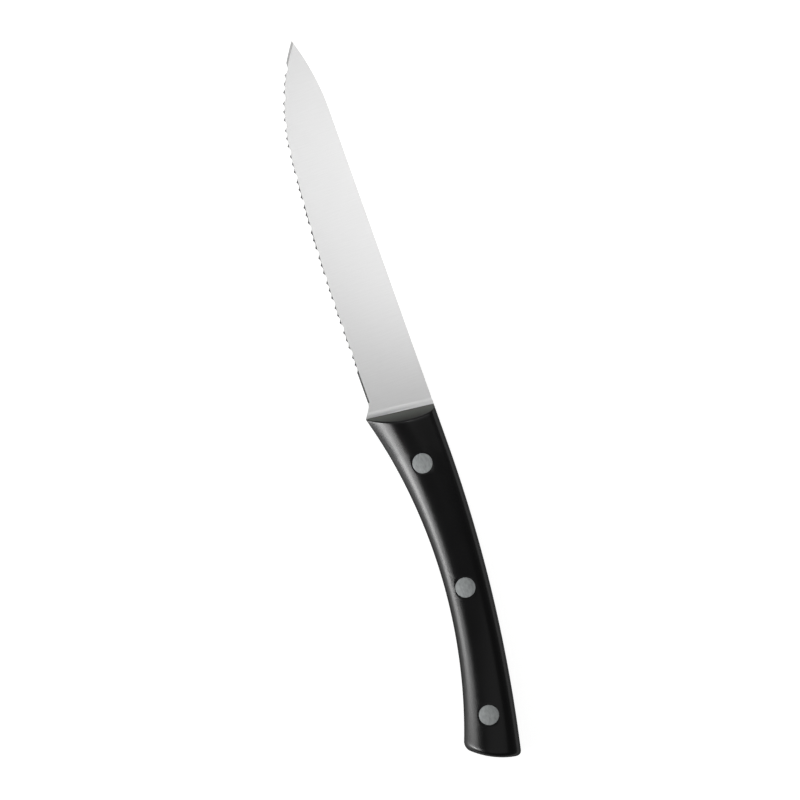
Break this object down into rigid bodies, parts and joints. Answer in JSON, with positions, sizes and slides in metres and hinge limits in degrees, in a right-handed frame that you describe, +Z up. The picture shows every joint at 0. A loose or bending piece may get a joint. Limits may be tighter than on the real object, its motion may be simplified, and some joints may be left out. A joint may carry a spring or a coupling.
{
  "type": "steak knife",
  "caption": "Table steak knife with a pointed, serrated steel blade and a curved, crowned black handle whose scales are riveted to a full tang.",
  "frame": {"origin": "on the surface that the knife lies on, under the middle of its bounding box", "axes": "+Y runs along the knife from the butt to the point, +X from the cutting edge to the back of the blade, and +Z up, square to the side that the knife lies on"},
  "size_m": [0.0268, 0.2352, 0.013],
  "materials": {
    "blade_steel": "satin",
    "handle_plastic": "satin",
    "rivet_steel": "satin"
  },
  "bodies": {
    "root": {"blade": "blade_steel", "upper_scale": "handle_plastic", "lower_scale": "handle_plastic", "front_rivet_pin": "rivet_steel", "front_rivet_barrel": "rivet_steel", "middle_rivet_pin": "rivet_steel", "middle_rivet_barrel": "rivet_steel", "rear_rivet_pin": "rivet_steel", "rear_rivet_barrel": "rivet_steel"}
  },
  "joints": []
}
